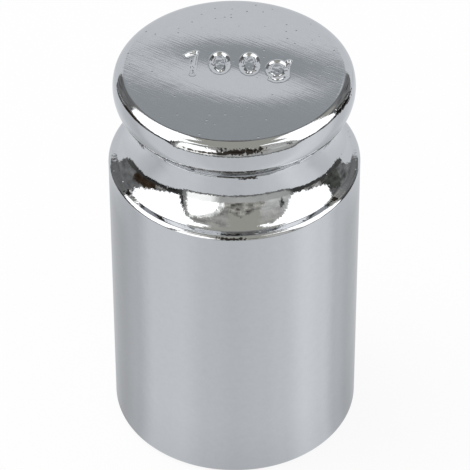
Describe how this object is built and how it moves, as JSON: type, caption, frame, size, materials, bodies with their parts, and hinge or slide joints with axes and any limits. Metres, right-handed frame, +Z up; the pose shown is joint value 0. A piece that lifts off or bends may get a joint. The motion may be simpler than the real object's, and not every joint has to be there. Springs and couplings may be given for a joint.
{
  "type": "calibration weight",
  "caption": "Round weight turned in one piece: cylindrical body, coved shoulder, narrow neck and a flat knob head to lift it by.",
  "frame": {"origin": "centre of the flat base", "axes": "+Z up along the axis of revolution, from the base to the top of the head; X and Y are alike"},
  "size_m": [0.0216, 0.0216, 0.037],
  "materials": {
    "plated_steel": "bright plating, polished on the sides, finely scratched on the flat top"
  },
  "bodies": {
    "root": {"weight": "plated_steel"}
  },
  "joints": []
}
